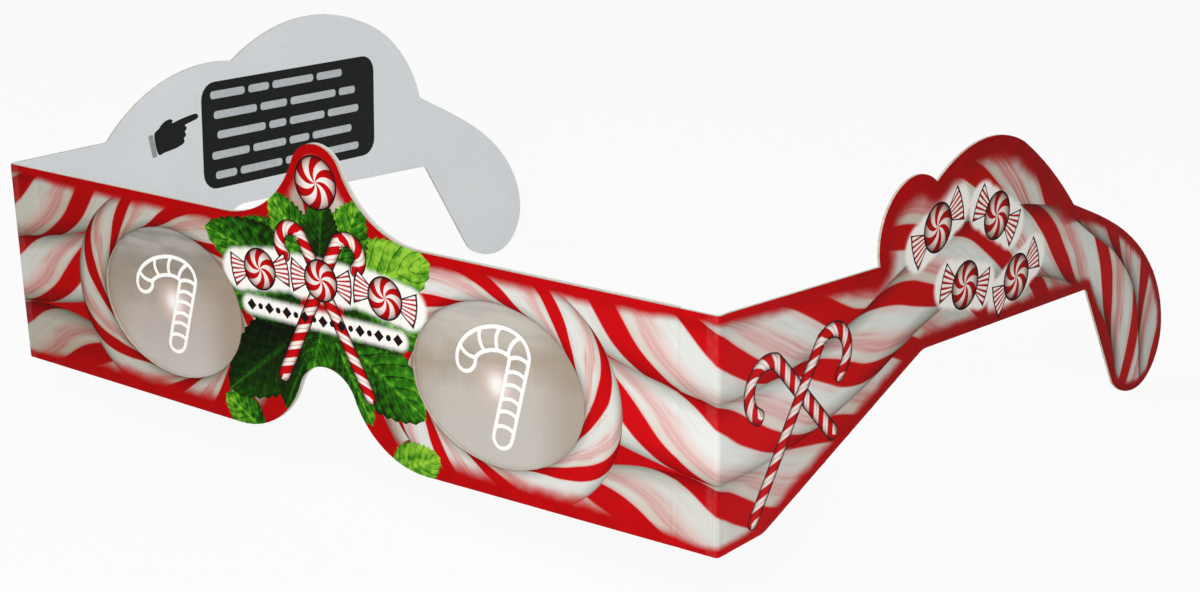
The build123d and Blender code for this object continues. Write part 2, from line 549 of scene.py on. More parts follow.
def stick(points, width, pitch, tone=0.5, side=right, ink="candy", start=0.0):
    """Prints a candy stick along a smooth path; its bands wind once in each pitch."""
    path = np.asarray(points, float) * (side, 1)
    path = smooth_path(path, step=min(point_spacing, width / 3))

    def place(spots):
        along, aside = along_path(spots, path)
        return np.column_stack([start + along / pitch, side * aside * 2 / width])

    motif(band_outline(path, width), ink, place, tone)


def print_map(tree):
    """A motif's own map, and how far along and across the motif each spot of it lies."""
    uv = add(tree, "ShaderNodeUVMap", uv_map="print")
    split = add(tree, "ShaderNodeSeparateXYZ", {"Vector": uv})
    return uv, split.outputs["X"], split.outputs["Y"]


def repeating(tree, value, stops):
    """Colours that come again each time a value grows by one."""
    share = add(tree, "ShaderNodeMath", {0: value}, operation="FRACT")
    return add(tree, "ShaderNodeValToRGB", {"Fac": share}, stops=stops)


def rounded(tree, colour, away, share, stops):
    """A colour that darkens away from a motif's middle, as on a round stick or sweet."""
    shade = add(tree, "ShaderNodeValToRGB", {"Fac": away}, stops=stops)
    return add(
        tree, "ShaderNodeMix", {"Factor": share, "A": colour, "B": shade},
        data_type="RGBA", blend_type="MULTIPLY",
    )


# Offset-printed sugar stick: crisp bands, softer lines, darker to both sides as a round stick is.
candy, tree = new_material("printed candy stick")
uv, along, across = print_map(tree)
around = add(
    tree, "ShaderNodeClamp", {"Value": across, "Min": -nearly_edge, "Max": nearly_edge}
)
around = add(tree, "ShaderNodeMath", {0: around}, operation="ARCSINE")
slant = add(tree, "ShaderNodeMath", {0: around, 1: band_slant / pi}, operation="MULTIPLY")
wander, mingled = (
    add(tree, "ShaderNodeTexNoise", {"Vector": uv, "Scale": scale, "Detail": 1.0})
    for scale in (wander_scale, mingle_scale)
)
wander = add(
    tree, "ShaderNodeMapRange", {"Value": wander, "To Min": -band_wander, "To Max": band_wander}
)
wound = along
for part in (slant, wander):
    wound = add(tree, "ShaderNodeMath", {0: wound, 1: part}, operation="ADD")
lined = repeating(tree, wound, (
    (0.0, "#D9A5A2"), (0.02, band_red), (0.30, band_red), (0.32, "#E2C2BE"),
    (0.38, candy_white), (0.46, candy_white), (0.50, "#DBA19E"), (0.54, "#E6D5D1"),
    (0.57, "#DCA9A6"), (0.61, "#E8DCD8"), (0.645, "#D79D9A"), (0.69, "#E6D3CF"),
    (0.76, candy_white), (0.89, candy_white), (0.95, "#E6CFCB"), (1.0, "#E4D8D4"),
))
washed = repeating(tree, wound, (
    (0.0, "#D9A5A2"), (0.02, band_red), (0.30, band_red), (0.32, "#DDC6BF"),
    (0.35, "#DFD8CF"), (0.42, "#DED5CC"), (0.46, "#DDAAA8"), (0.50, "#E3C3C0"),
    (0.53, "#DDB0AE"), (0.59, "#E6CECB"), (0.68, "#E6DEDB"), (0.75, candy_white),
    (0.97, candy_white), (1.0, "#E4D8D4"),
))
mingled = add(
    tree, "ShaderNodeMapRange",
    {"Value": mingled, "From Min": mingle_from, "From Max": mingle_to},
)
bands = add(
    tree, "ShaderNodeMix", {"Factor": mingled, "A": lined, "B": washed}, data_type="RGBA"
)
streaks = add(tree, "ShaderNodeCombineXYZ", {"X": wound, "Y": across})
streaks = add(tree, "ShaderNodeMapping", {"Vector": streaks, "Scale": pulled_streaks})
streaks = add(tree, "ShaderNodeTexNoise", {"Vector": streaks, "Scale": 1.0, "Detail": 3.0})
streaks = add(
    tree, "ShaderNodeMapRange",
    {"Value": streaks, "From Min": streak_from, "From Max": streak_to,
     "To Min": 0.0, "To Max": streak_strength},
)
turn = add(tree, "ShaderNodeMath", {0: wound}, operation="FRACT")
off_band = add(
    tree, "ShaderNodeMapRange",
    {"Value": turn, "From Min": off_band_from, "From Max": off_band_to},
)
streaks = add(tree, "ShaderNodeMath", {0: streaks, 1: off_band}, operation="MULTIPLY")
sugar = add(
    tree, "ShaderNodeMix", {"Factor": streaks, "A": bands, "B": line_pink}, data_type="RGBA"
)
aside = add(tree, "ShaderNodeMath", {0: across}, operation="ABSOLUTE")
sugar = rounded(tree, sugar, aside, candy_roundness, (
    (0.0, "#FFFFFF"), (0.55, "#F9F9F8"), (0.87, candy_shade), (1.0, candy_gap),
))
tone = add(tree, "ShaderNodeAttribute", attribute_name="tone").outputs["Fac"]
warmth = add(
    tree, "ShaderNodeMix", {"Factor": tone, "A": shaded_candy, "B": "#FFFFFF"}, data_type="RGBA"
)
printed(tree, add(
    tree, "ShaderNodeMix", {"Factor": 1.0, "A": sugar, "B": warmth},
    data_type="RGBA", blend_type="MULTIPLY",
))

# The broad sticks run from the bridge under each eye ring, out to the fold, and along the temple.
# Each has its lightness, where its bands start, its width, and the points that it runs through.
for side in (left, right):
    for tone, start, width, points in (
        (0.3, 0.1, 11.5, ((3, 29), (6, 18), (12, 6), (16, -6), (23, -15), (34, -19))),
        (0.6, 0.4, 9.0, ((10, 22), (20, 17.5), (33, 18), (45, 15.5), (56, 16))),
        (0.5, 0.75, 9.0, ((18, -16), (30, -17.5), (44, -14), (54, -16.5))),
        (0.4, 0.5, 11.0, (
            (82, 28), (98, 22), (113, 23), (127, 28.5), (142, 30), (158, 24), (170, 12),
        )),
        (0.4, 0.83, 12.0, (
            (47, -15), (58, -12.2), (71, -11.8), (84, -10.5), (99, -4), (114, 0.5),
            (130, 1.5), (148, -1), (166, -8),
        )),
        (0.6, 0.75, 11.5, (
            (44, 18), (57, 13.2), (71, 10.6), (88, 11.2), (103, 13.5), (117, 19),
            (133, 21.5), (149, 18.5), (164, 10), (178, -2),
        )),
        (0.8, 0.72, 11.5, (
            (46, 4), (58, 1.2), (71, -0.6), (86, 0), (101, 3), (117, 8.5),
            (134, 11), (152, 8), (168, 2), (180, -7), (187, -19), (189, -33),
        )),
        (0.6, 0.3, 10.5, (
            (148, 35), (157, 20.5), (170, 11), (183.5, 2.5), (193, -9), (197, -26),
        )),
    ):
        # Painted shade on the left side is added to each stick's lightness.
        stick(points, width, broad_pitch, tone + painted_side_light[side], side, start=start)


# Eye rings
# A candy stick bent into a ring is printed round each window, from the cut edge outwards.
ring_width, ring_bands, ring_tone = 6.4, 8, 0.6
ring_turns = np.linspace(0, 2 * pi, 121)
window_centre = windows[1].mean(axis=0)
window_half = np.ptp(windows[1], axis=0) / 2
for side in (left, right):
    ring_path, ring_edge = (
        (window_centre + (window_half + reach) * np.column_stack(
            [np.cos(ring_turns), np.sin(ring_turns)]
        )) * (side, 1)
        for reach in (ring_width / 2, ring_width)
    )
    ring_length = np.linalg.norm(np.diff(ring_path, axis=0), axis=1).sum()

    def ring_place(spots, path=ring_path, length=ring_length, side=side):
        """The map of a ring; a triangle over the path's ends is kept on one side of them."""
        along, aside = along_path(spots, path)
        wound = along / length * ring_bands
        first = np.repeat(wound[::3], 3)
        wound -= np.round((wound - first) / ring_bands) * ring_bands
        return np.column_stack([wound, side * aside * 2 / ring_width])

    # Painted shade on the left side is added to the ring's lightness.
    motif(ring_edge[:-1], "candy", ring_place, ring_tone + painted_side_light[side])


# Mint leaves
# Serrated leaves are printed in a fan behind the sweets on the bridge, lime where they catch
# the light and nearly black in the shade, with a few at the foot of the nose arch.
leaf_teeth, leaf_tooth_depth, leaf_tooth_lean = 13, 0.45, 0.75
leaf_fullness, leaf_bluntness, leaf_end = 0.8, 0.7, 0.03
leaf_dark, leaf_deep, leaf_mid, leaf_lime = "#121E08", "#25490F", "#3F8A1E", "#9CCB46"
blister_size, blister_shade, blister_gain, blister_most = 1.35, (0.20, -0.24), 0.9, 0.11
furrow_width, furrow_dark = 0.22, 0.2
vein_pairs, vein_slant, vein_wander_size, vein_wander = 8.0, 0.32, 2.0, 0.2
vein_width, vein_deep, vein_shallow, vein_swell = 0.16, -0.40, -0.06, 0.16
lit_half_gain, base_light, tip_light = 0.14, -0.12, 0.16
relief_from, relief_to, least_relief = 0.1, 0.6, 0.3
rib_edges, rib_light, margin_edges, margin_light = (0.03, 0.10), 0.22, (0.82, 1.0), -0.22


def leaf(base, tip, width, tone):
    """Prints a leaf from its base to its tip."""
    base, tip = np.asarray(base, float), np.asarray(tip, float)
    length = np.linalg.norm(tip - base)
    ahead = (tip - base) / length
    aside = np.array([-ahead[1], ahead[0]])

    def half_width(share):
        return width / 2 * np.sin(pi * np.clip(share, 0, 1) ** leaf_fullness) ** leaf_bluntness

    edge = []
    for notch in (np.arange(leaf_teeth) + 0.5) / leaf_teeth:
        point = notch + leaf_tooth_lean / leaf_teeth
        edge.append((notch * length, half_width(notch)))
        edge.append((point * length, half_width(point) + leaf_tooth_depth))
    edge = np.array([spot for spot in edge if spot[0] < length])
    edge_up = base + edge[:, :1] * ahead + edge[:, 1:] * aside
    edge_down = base + edge[:, :1] * ahead - edge[:, 1:] * aside
    outline = np.vstack([base, edge_down, tip, edge_up[::-1]])

    def place(spots):
        share = (spots - base) @ ahead / length
        room = half_width(np.clip(share, leaf_end, 1 - leaf_end)) + leaf_tooth_depth
        return np.column_stack([share, np.clip((spots - base) @ aside / room, -1, 1)])

    motif(outline, "leaf", place, tone)


# Printed leaf: its colour is how much light it gets. Small blisters stand between dark furrows,
# side veins run out from a pale midrib, and one half and the tip catch more light.
leaf_print, tree = new_material("printed leaf")
_, along, across = print_map(tree)
place = add(tree, "ShaderNodeTexCoord").outputs["Object"]
tone = add(tree, "ShaderNodeAttribute", attribute_name="tone").outputs["Fac"]
aside = add(tree, "ShaderNodeMath", {0: across}, operation="ABSOLUTE")
lit_half = add(tree, "ShaderNodeMath", {0: across, 1: lit_half_gain}, operation="MULTIPLY")
tip = add(
    tree, "ShaderNodeMapRange", {"Value": along, "To Min": base_light, "To Max": tip_light}
)
shaded_side = add(
    tree, "ShaderNodeMapping",
    {"Vector": place, "Location": (blister_shade[0] * mm, 0, blister_shade[1] * mm)},
)
lit_blister, shaded_blister, furrows = (
    add(
        tree, "ShaderNodeTexVoronoi", {"Vector": spot, "Scale": 1 / (blister_size * mm)},
        feature=feature,
    ).outputs["Distance"]
    for spot, feature in ((place, "F1"), (shaded_side, "F1"), (place, "DISTANCE_TO_EDGE"))
)
furrows = add(
    tree, "ShaderNodeMapRange",
    {"Value": furrows, "From Min": 0.0, "From Max": furrow_width,
     "To Min": -furrow_dark, "To Max": 0.0},
)
crinkle = lit_blister
for operation, value in (
    ("SUBTRACT", shaded_blister), ("MULTIPLY", blister_gain), ("MINIMUM", blister_most),
    ("ADD", furrows),
):
    crinkle = add(tree, "ShaderNodeMath", {0: crinkle, 1: value}, operation=operation)
wander = add(
    tree, "ShaderNodeTexNoise",
    {"Vector": place, "Scale": 1 / (vein_wander_size * mm), "Detail": 1.0},
)
wander = add(
    tree, "ShaderNodeMapRange", {"Value": wander, "To Min": -vein_wander, "To Max": vein_wander}
)
vein_place = aside
for operation, value in (
    ("MULTIPLY", -vein_slant), ("ADD", along), ("MULTIPLY", vein_pairs), ("ADD", wander)
):
    vein_place = add(tree, "ShaderNodeMath", {0: vein_place, 1: value}, operation=operation)
vein_place = add(tree, "ShaderNodeMath", {0: vein_place}, operation="FRACT")
swell = add(tree, "ShaderNodeMath", {0: vein_place, 1: vein_swell}, operation="MULTIPLY")
vein = add(
    tree, "ShaderNodeMapRange",
    {"Value": vein_place, "From Min": 0.0, "From Max": vein_width,
     "To Min": vein_deep, "To Max": vein_shallow},
)
depth = add(
    tree, "ShaderNodeMapRange",
    {"Value": tone, "From Min": relief_from, "From Max": relief_to, "To Min": least_relief},
)
relief = vein
for operation, value in (("ADD", swell), ("ADD", crinkle), ("MULTIPLY", depth)):
    relief = add(tree, "ShaderNodeMath", {0: relief, 1: value}, operation=operation)
rib, margin = (
    add(
        tree, "ShaderNodeMapRange",
        {"Value": aside, "From Min": near, "From Max": far, "To Min": first, "To Max": last},
    )
    for near, far, first, last in ((*rib_edges, rib_light, 0.0), (*margin_edges, 0.0, margin_light))
)
light = tone
for part in (lit_half, tip, relief, rib, margin):
    light = add(tree, "ShaderNodeMath", {0: light, 1: part}, operation="ADD")
green = add(
    tree, "ShaderNodeValToRGB", {"Fac": light},
    stops=((0.0, leaf_dark), (0.3, leaf_deep), (0.6, leaf_mid), (1.0, leaf_lime)),
)
printed(tree, green, rimmed=0.0)

# Each leaf's base and tip, its width, and how much light it gets; later ones lie on top.
for base, tip, width, tone in (
    ((-14, -17.5), (-22, -13), 6.5, 0.7),
    ((13, -18), (22, -13.5), 7.0, 0.84),
    ((-3, 2), (-21, -12), 12.0, 0.17),
    ((3, 2), (19.6, -8.2), 12.5, 0.48),
    ((0, 4), (-9, -12.5), 8.0, 0.2),
    ((1, 3), (9, -11.5), 7.0, 0.5),
    ((-4, 12), (-16.5, 16.2), 7.0, 0.66),
    ((-3, 9), (-24.0, 14.2), 10.5, 0.52),
    ((-4, 7), (-20, 4), 9.0, 0.35),
    ((4, 7), (20, 4), 9.0, 0.5),
    ((4, 9), (21.5, 16), 11.5, 0.84),
    ((-2, 12), (-9.5, 22), 7.5, 0.66),
    ((3, 12), (8.5, 23), 8.0, 0.62),
    ((0, 13), (1, 22.5), 7.0, 0.3),
    ((0, 3), (-3, -6), 7.0, 0.45),
):
    leaf(base, tip, width, tone)


# Sweets
# Round peppermints in twisted wrappers and thin hooked canes are printed on the bridge and on
# each temple, all with a thin dark outline, and the wrapped ones also with a pale glow.
sweet_dark, sweet_darker = "#3A2426", "#241415"
sweet_rim, cane_rim = 0.28, 0.2
wrapper_twist, wrapper_corner, wrapper_tip = (0.85, 0.18), (1.78, 0.78), (1.9, 0.3)
wrapper_flare = 1.4
glow_reach, glow_radius = (-1.45, -0.7, 0, 0.7, 1.45), 0.8
cane_width, cane_pitch, cane_slant = 2.1, 3.4, 0.3
hook_turns = np.linspace(pi, -0.12 * pi, 9)
petal_pairs, petal_swirl, dome_shade = 6, 0.9, 0.9
glaze_shade, wrapper_pleats = 0.8, 7.0
bridge_crook, temple_crook = 2.5, 3.9
crown_place, crown_radius = (0, 24.6), 3.9
row_level, row_step, row_drop, row_radius = 9.6, 12.6, 0.4, 3.1
bead_level, bead_step, round_bead, square_bead = 3.2, 1.85, 0.5, 0.95
beads_each_side, bead_glow_reach, bead_glow_radius = 8, 0.4, 0.6
temple_sweet_radius = 3.6
glow_cores = []


def disc(centre, radius, steps=36):
    """A circle as a closed outline."""
    turns = np.arange(steps) * 2 * pi / steps
    return np.asarray(centre) + radius * np.column_stack([np.cos(turns), np.sin(turns)])


def peppermint(centre, radius):
    """Prints a round peppermint."""
    centre = np.asarray(centre, float)
    motif(disc(centre, radius + sweet_rim), "dark ink")
    motif(disc(centre, radius), "peppermint", lambda spots: (spots - centre) / radius)


def wrapped_sweet(centre, radius, lean):
    """Prints a round peppermint with its wrapper twisted and fanned out at both ends."""
    centre = np.asarray(centre, float)
    ahead = np.array([cos(radians(lean)), sin(radians(lean))])
    aside = np.array([-ahead[1], ahead[0]])
    for end in (-1, 1):
        for grown, ink in ((sweet_rim, "dark ink"), (0.0, "wrapper")):
            fan = [
                (radius * wrapper_twist[0], radius * wrapper_twist[1] + grown),
                (
                    radius * wrapper_corner[0] + grown,
                    radius * wrapper_corner[1] + grown * wrapper_flare,
                ),
                (radius * wrapper_tip[0] + grown, radius * wrapper_tip[1]),
            ]
            fan += [(out, -across) for out, across in fan[::-1]]
            outline = [centre + end * out * ahead + across * aside for out, across in fan]

            def pleats(spots, end=end):
                out = (spots - centre) @ ahead * end
                return np.column_stack([out / radius, (spots - centre) @ aside / out])

            motif(outline, ink, pleats)
    glow_cores.append((centre + np.outer(glow_reach, ahead) * radius, radius * glow_radius))
    peppermint(centre, radius)


def thin_cane(foot, head, crook_radius, hand, side):
    """Prints a thin cane from its foot to its head, hooked over to the hand side."""
    foot, head = np.asarray(foot, float), np.asarray(head, float)
    ahead = (head - foot) / np.linalg.norm(head - foot)
    aside = np.array([ahead[1], -ahead[0]]) * hand
    hook = [
        head + crook_radius * (aside * (1 + cos(turn)) + ahead * sin(turn))
        for turn in hook_turns
    ]
    path = [foot, (foot + head) / 2, *hook]
    shade = smooth_path(np.array(path) * (side, 1), step=cane_width / 3)
    motif(band_outline(shade, cane_width + 2 * cane_rim), "dark ink")
    stick(path, cane_width, cane_pitch, side=side, ink="glazed")


# Dark outline ink: a brown-black that stands beside red without reading as a hole.
dark_ink, tree = new_material("dark ink")
colour = mottled(tree, speckle_size, 2.0, sweet_dark, sweet_darker)[0]
printed(tree, colour, rimmed=0.0, glowing=0.0)

# Peppermint: red and white petals that swirl out from the middle, shaded as a domed sweet.
peppermint_print, tree = new_material("printed peppermint")
uv, along, across = print_map(tree)
radius = add(tree, "ShaderNodeVectorMath", {0: uv}, operation="LENGTH").outputs["Value"]
swirl = add(tree, "ShaderNodeMath", {0: radius, 1: petal_swirl}, operation="MULTIPLY")
petals = across
for operation, value in (
    ("ARCTAN2", along), ("MULTIPLY", petal_pairs / (2 * pi)), ("ADD", swirl)
):
    petals = add(tree, "ShaderNodeMath", {0: petals, 1: value}, operation=operation)
petals = repeating(tree, petals, (
    (0.0, "#F4E9E6"), (0.03, "#D3161D"), (0.5, "#C8131A"), (0.53, "#F7F4F0"), (1.0, "#F4F0EC"),
))
dome = rounded(tree, petals, radius, dome_shade, (
    (0.0, "#FFFFFF"), (0.6, "#F4F0EE"), (0.88, "#C9B9B4"), (1.0, "#8A6A66"),
))
printed(tree, dome, rimmed=0.0, glowing=0.0)

# Glazed cane: narrow even bands on a thin stick, with no rim of its own.
glazed, tree = new_material("printed glazed cane")
_, along, across = print_map(tree)
slant = add(tree, "ShaderNodeMath", {0: across, 1: cane_slant}, operation="MULTIPLY")
wound = add(tree, "ShaderNodeMath", {0: along, 1: slant}, operation="ADD")
bands = repeating(tree, wound, (
    (0.0, "#F6EFEB"), (0.04, "#D4161D"), (0.52, "#CB141B"), (0.56, "#F8F4F0"),
    (0.72, "#F8F4F0"), (0.76, line_pink), (0.82, "#F8F4F0"), (1.0, "#F6EFEB"),
))
aside = add(tree, "ShaderNodeMath", {0: across}, operation="ABSOLUTE")
glaze = rounded(
    tree, bands, aside, glaze_shade, ((0.0, "#FFFFFF"), (0.5, "#F4EEEA"), (1.0, "#8A6058"))
)
printed(tree, glaze, rimmed=0.0, glowing=0.0)

# Cellophane wrapper: pale, with red pleats that run out from the twist.
wrapper, tree = new_material("printed wrapper")
pleat = add(
    tree, "ShaderNodeMath", {0: print_map(tree)[2], 1: wrapper_pleats}, operation="MULTIPLY"
)
pleat = repeating(tree, pleat, (
    (0.0, "#B5161D"), (0.3, "#CE2A31"), (0.42, "#F5EAE7"), (0.85, "#FBF7F5"), (1.0, "#C98A88"),
))
printed(tree, pleat, rimmed=0.0, glowing=0.0)

# Two canes crossed behind the row on the bridge, and two crossed on each temple.
for side in (left, right):
    thin_cane((-8.8, -7.0), (3.4, 15.6), bridge_crook, 1, side)
for side in (left, right):
    thin_cane((95.5, -6.8), (82.5, 7.0), temple_crook, -1, side)
    thin_cane((77.0, -14.0), (91.5, 7.0), temple_crook, 1, side)

# A peppermint in the bridge's crown, and a row of three wrapped ones.
peppermint(crown_place, crown_radius)
for place, lean in ((-1, 9), (1, -9), (0, 0)):
    wrapped_sweet((place * row_step, row_level - row_drop * abs(place)), row_radius, lean)

# A pale ribbon of dark beads under the row, round and square by turns.
for place in range(-beads_each_side, beads_each_side + 1):
    centre = np.array([place * bead_step, bead_level])
    size, steps = (round_bead, 12) if place % 2 else (square_bead, 4)
    motif(disc(centre, size, steps), "dark ink")
    core = centre + ((-bead_glow_reach, 0), (bead_glow_reach, 0))
    glow_cores.append((core, bead_glow_radius))

# Four on each temple, along the crest.
for side in (left, right):
    for place, lean in (
        ((50.5, 17.2), 22), ((67.5, 15.2), -30), ((59.0, 6.2), -16), ((74.5, 3.6), 24)
    ):
        centre = np.array(place) + (temple_start[side], 0)
        wrapped_sweet(centre * (side, 1), temple_sweet_radius, lean * side)


# Inside of the left temple
# The back of the blank is bare clay-coated board. On the left temple it carries a black panel
# with rounded corners, which holds plain pale bars, and a black hand that points to it.
panel_middle, panel_size, panel_tilt = (61.9, 12.3), (44.7, 19.9), -2.7
panel_corner = 3.2
bar_rows, bar_pitch, bar_height, bar_gap, bar_corner = 5, 3.75, 1.45, 0.9, 0.6
bar_lengths = (8.4, 5.2, 10.6, 6.8, 12.0, 4.4, 9.2)
bar_indent, bar_stagger, bar_end_margin = 2.2, 0.7, 1.6
hand_wrist, hand_tilt = (28.8, 14.6), 9.0
cuff_low, cuff_high, cuff_corner = (-1.35, -2.4), (-0.25, 1.8), 0.25
hand_step = 0.4


def inside_motif(points, ink):
    """Prints a plain shape inside the left temple, from places along and up from its fold."""
    points = np.asarray(points, float)
    flat = np.column_stack([-(temple_start[left] + points[:, 0]), points[:, 1]])
    print_inside[cell(flat)] = (ink, plain_map, 0.5)


def turned(points, middle, degrees):
    """Points turned about the origin and moved to a middle."""
    angle = radians(degrees)
    turn = np.array([[cos(angle), sin(angle)], [-sin(angle), cos(angle)]])
    return np.asarray(points, float) @ turn + middle


def rounded_box(low, high, corner, steps=6):
    """A rectangle with round corners as a closed outline."""
    low, high = np.asarray(low, float), np.asarray(high, float)
    outline = []
    for number, (x, y) in enumerate(((1, 1), (0, 1), (0, 0), (1, 0))):
        centre = np.where((x, y), high - corner, low + corner)
        turns = np.linspace(number, number + 1, steps) * pi / 2
        outline.append(centre + corner * np.column_stack([np.cos(turns), np.sin(turns)]))
    return np.vstack(outline)


half = np.array(panel_size) / 2
panel = rounded_box(-half, half, panel_corner)
inside_motif(turned(panel, panel_middle, panel_tilt), "black ink")
for row in range(bar_rows):
    level = (bar_rows // 2 - row) * bar_pitch
    begin = -half[0] + bar_indent + bar_stagger * (row % 3)
    number = row * 2
    while begin + bar_lengths[number % len(bar_lengths)] < half[0] - bar_end_margin:
        end = begin + bar_lengths[number % len(bar_lengths)]
        bar = rounded_box(
            (begin, level - bar_height / 2), (end, level + bar_height / 2), bar_corner
        )
        inside_motif(turned(bar, panel_middle, panel_tilt), "bare bar")
        begin, number = end + bar_gap, number + 1
hand = smooth_path(
    ((0.0, -2.1), (0.0, 1.5), (1.3, 2.3), (2.6, 3.0), (4.1, 3.1), (4.7, 2.55), (4.4, 2.2),
     (6.4, 2.25), (8.8, 2.15), (10.2, 1.95), (10.5, 1.45), (10.1, 1.0), (7.2, 0.85), (7.45, 0.4),
     (7.2, -0.1), (6.8, -0.3), (7.0, -0.8), (6.7, -1.25), (6.3, -1.4), (6.35, -1.9),
     (5.8, -2.35), (3.9, -2.5), (1.6, -2.35)),
    step=hand_step, closed=True,
)
inside_motif(turned(hand, hand_wrist, hand_tilt), "black ink")
cuff = rounded_box(cuff_low, cuff_high, cuff_corner)
inside_motif(turned(cuff, hand_wrist, hand_tilt), "grey ink")


# The drawing as triangles
# Every outline is cut into one flat net of triangles. Each triangle takes the ink of the last
# motif printed over it, and each point knows how far it is from a cut edge and from a sweet,
# how much painted shade darkens its ink, and how much it is worn and carries a painted sheen.
glow_rings = (0.7, 1.3, 1.9, 2.5)
net_tolerance = 1e-5
out_of_reach = 99.0
grid_side_margin, grid_end_margin = 2, 1
# An upright edge this near a fold is no cut edge, and above this level a temple's edge is a crest.
fold_band, crest_level = 4, 8
# Where past the fold the rim takes on a temple's, a crest's and a hook's share, and how fast.
temple_rim_from, crest_rim_from, hook_rim_from = (0, 6), (25, 12), (88, 20)
# How much painted shade darkens the print at the left fold and at the hooks, and where that fades
# or grows.
leftward_painted_shade, leftward_fade = 0.45, 40
hookward_painted_shade, hookward_from = {left: 0.3, right: 0.75}, (12, 50)
# The print is worn, and carries a painted sheen, from just before each fold to the middle of its
# bend.
wear_and_sheen_lead, wear_and_sheen_fade = 0.1, 0.15

reach = max(np.abs(outline[:, 0]).max() for outline in edge_lines) + grid_side_margin
lowest = min(outline[:, 1].min() for outline in edge_lines) - grid_end_margin
highest = max(outline[:, 1].max() for outline in edge_lines) + grid_end_margin
for number, level in enumerate(np.arange(lowest, highest, point_spacing * sqrt(3) / 2)):
    columns = np.arange(-reach, reach, point_spacing) + number % 2 * point_spacing / 2
    drawing_points.extend((x, level) for x in columns)
for outline in (*edge_lines, *windows):
    ahead = np.roll(outline, -1, axis=0) - np.roll(outline, 1, axis=0)
    ahead /= np.linalg.norm(ahead, axis=1)[:, None]
    aside = np.column_stack([-ahead[:, 1], ahead[:, 0]])
    for inward in (-1, 1):
        drawing_points.extend(map(tuple, outline + inward * edge_roll_width * aside))
for core, core_radius in glow_cores:
    for gap in glow_rings:
        drawing_points.extend(map(tuple, band_outline(core, 2 * (core_radius + gap))))

net_points, _, net_faces, _, _, net_owners = delaunay_2d_cdt(
    [Vector(point) for point in drawing_points], drawing_edges, drawing_cells,
    0, net_tolerance, True,
)
net_points = np.array(net_points)
kept = [number for number, owners in enumerate(net_owners) if owners]
net_owners = [set(net_owners[number]) for number in kept]
net_faces = np.array([net_faces[number] for number in kept])


def distance_to_lines(points, lines):
    """The distance from each point to the nearest of some closed lines, folds left out."""
    nearest = np.full(len(points), out_of_reach)
    for line in lines:
        runs = np.roll(line, -1, axis=0) - line
        at_fold = np.abs(np.abs(line[:, 0]) - fold_reach) < fold_band
        at_fold &= np.abs(runs[:, 0]) < same_place
        for start, run in zip(line[~at_fold], runs[~at_fold]):
            share = np.clip((points - start) @ run / (run @ run), 0, 1)
            gap = np.linalg.norm(points - start - share[:, None] * run, axis=1)
            nearest = np.minimum(nearest, gap)
    return nearest


def risen(values, begin, length):
    """From 0 where values reach begin to 1 where they are a length past it."""
    return np.clip((values - begin) / length, 0, 1)


bend_edges = [
    np.array([(side * fold_reach, level), (side * temple_start[side], level)])
    for side in (left, right) for level in (lower_edge, upper_edge)
]
past_fold = np.abs(net_points[:, 0]) - fold_reach
rim_share = np.where(net_points[:, 1] > 0, upper_rim_share, 1.0)
crest_share = np.where(net_points[:, 1] > crest_level, crest_rim_share, temple_rim_share)
for share, begins in (
    (temple_rim_share, temple_rim_from), (crest_share, crest_rim_from),
    (hook_rim_share, hook_rim_from),
):
    rim_share += (share - rim_share) * risen(past_fold, *begins)
near_fold = np.clip(1 - np.abs(past_fold) / fold_rim_reach, 0, 1)
rim_share += (fold_rim_share - rim_share) * near_fold**2 * (3 - 2 * near_fold)
edge_distance = distance_to_lines(net_points, edge_lines + bend_edges) / rim_share
sweet_distance = np.full(len(net_points), out_of_reach)
for core, core_radius in glow_cores:
    gaps = np.linalg.norm(net_points[:, None] - core[None], axis=2).min(1) - core_radius
    sweet_distance = np.minimum(sweet_distance, gaps)
# Painted shade: the print is darkened towards the left fold and towards the hooks.
leftward = np.clip(0.5 - net_points[:, 0] / (2 * fold_reach), 0, 1)
leftward *= np.clip(1 - past_fold / leftward_fade, 0, 1)
hookward = np.where(net_points[:, 0] < 0, hookward_painted_shade[left], hookward_painted_shade[right])
painted_falloff_shade = 1 + leftward_painted_shade * leftward + hookward * risen(past_fold, *hookward_from)
# Coating wear and a painted sheen along each bend.
crease_wear_and_sheen = np.minimum(past_fold + wear_and_sheen_lead, bend_length[right] / 2 - past_fold) / wear_and_sheen_fade
net_facts = {
    "edge_distance": edge_distance, "sweet_distance": sweet_distance,
    "crease_wear_and_sheen": np.clip(crease_wear_and_sheen, 0, 1), "painted_falloff_shade": painted_falloff_shade,
}


# Board pieces
# The outer ply of the front, the two bends and the two temples are one sheet on the real
# object, 0.45 mm thick. Each is a closed shell here: print, cut edge, and bare back.
inks = {
    "red ink": red_ink, "candy": candy, "leaf": leaf_print, "dark ink": dark_ink,
    "peppermint": peppermint_print, "glazed": glazed, "wrapper": wrapper,
}
bare_white, bare_grey, bare_rough = "#F0F3F5", "#E9EDF0", 0.62
core_pale, core_grey = "#D5CDBF", "#B4AA99"
# Paper fibres are about 0.03 mm wide, too fine to show, so they are drawn as coarse as 0.7 mm.
cloud_size, fibre_size, fibre_relief, fibre_depth = 22.0, 0.7, 0.12, 0.1
fibre_from, fibre_to, board_specular = 0.12, 0.4, 0.15
# The seam with a temple lies a hair past the bend, where both pieces follow the temple.
seam_past_bend = 0.02
sharp_edge = 35


